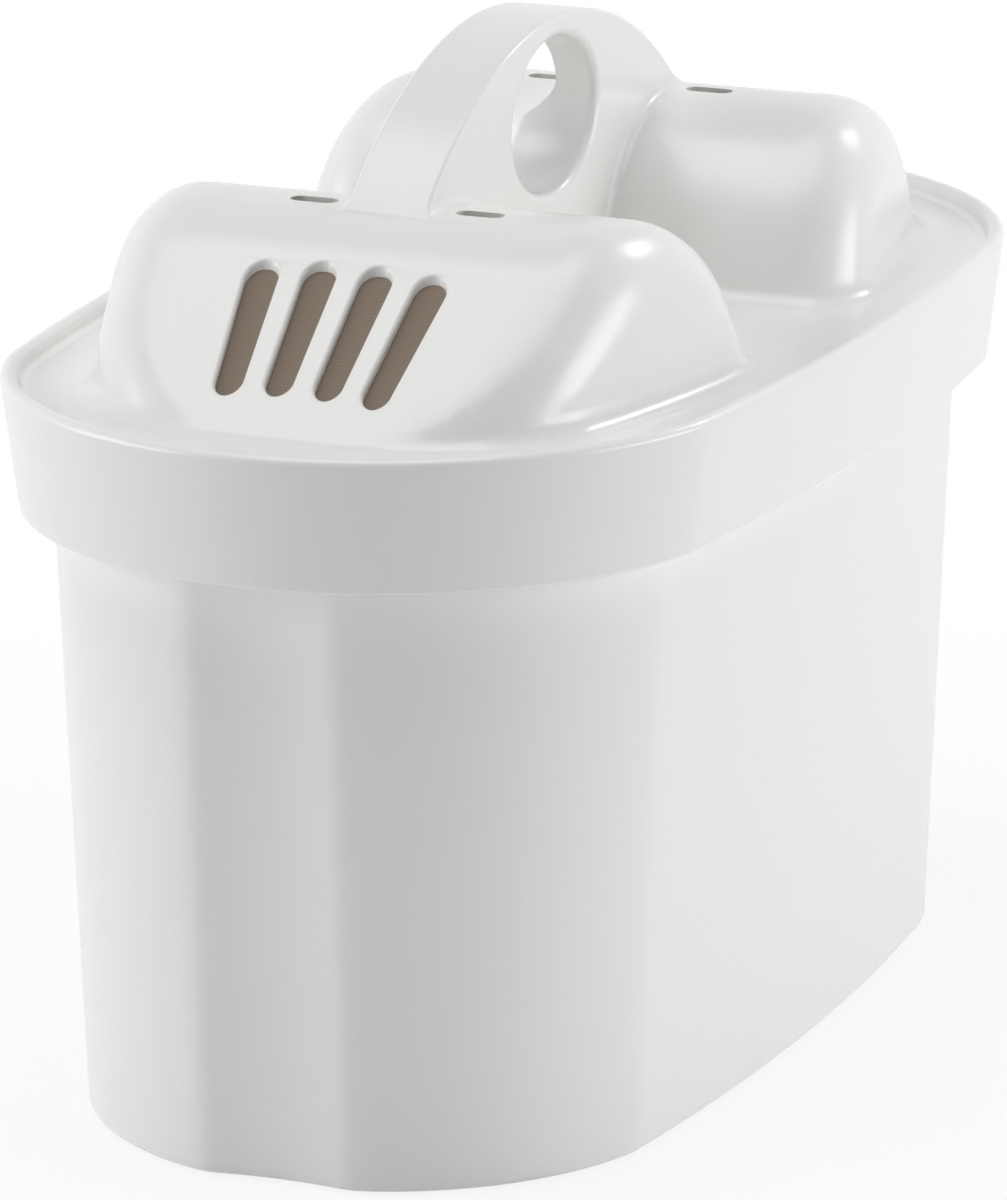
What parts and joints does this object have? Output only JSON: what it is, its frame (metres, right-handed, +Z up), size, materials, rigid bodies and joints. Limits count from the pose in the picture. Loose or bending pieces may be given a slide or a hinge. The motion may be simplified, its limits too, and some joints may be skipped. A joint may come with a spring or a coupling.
{
  "type": "water pitcher filter cartridge",
  "caption": "Oval cup of filter granules with a stepped collar, closed by a lid with hollow slotted domes and a handle arch for lifting it out of a pitcher.",
  "frame": {"origin": "middle of the foot, at the bottom centre of the bounding box", "axes": "+X along the oval's long axis, +Y across it, +Z up towards the handle arch"},
  "size_m": [0.1078, 0.0598, 0.079],
  "materials": {
    "shell": "white moulded polypropylene with a soft gloss",
    "mesh": "fine woven polyester mesh, stained grey-brown",
    "granules": "dark carbon and resin grains"
  },
  "bodies": {
    "root": {"cup": "shell", "lid": "shell", "inlet_screen_front": "mesh", "inlet_screen_rear": "mesh", "outlet_screen": "mesh", "granules": "granules"}
  },
  "joints": []
}
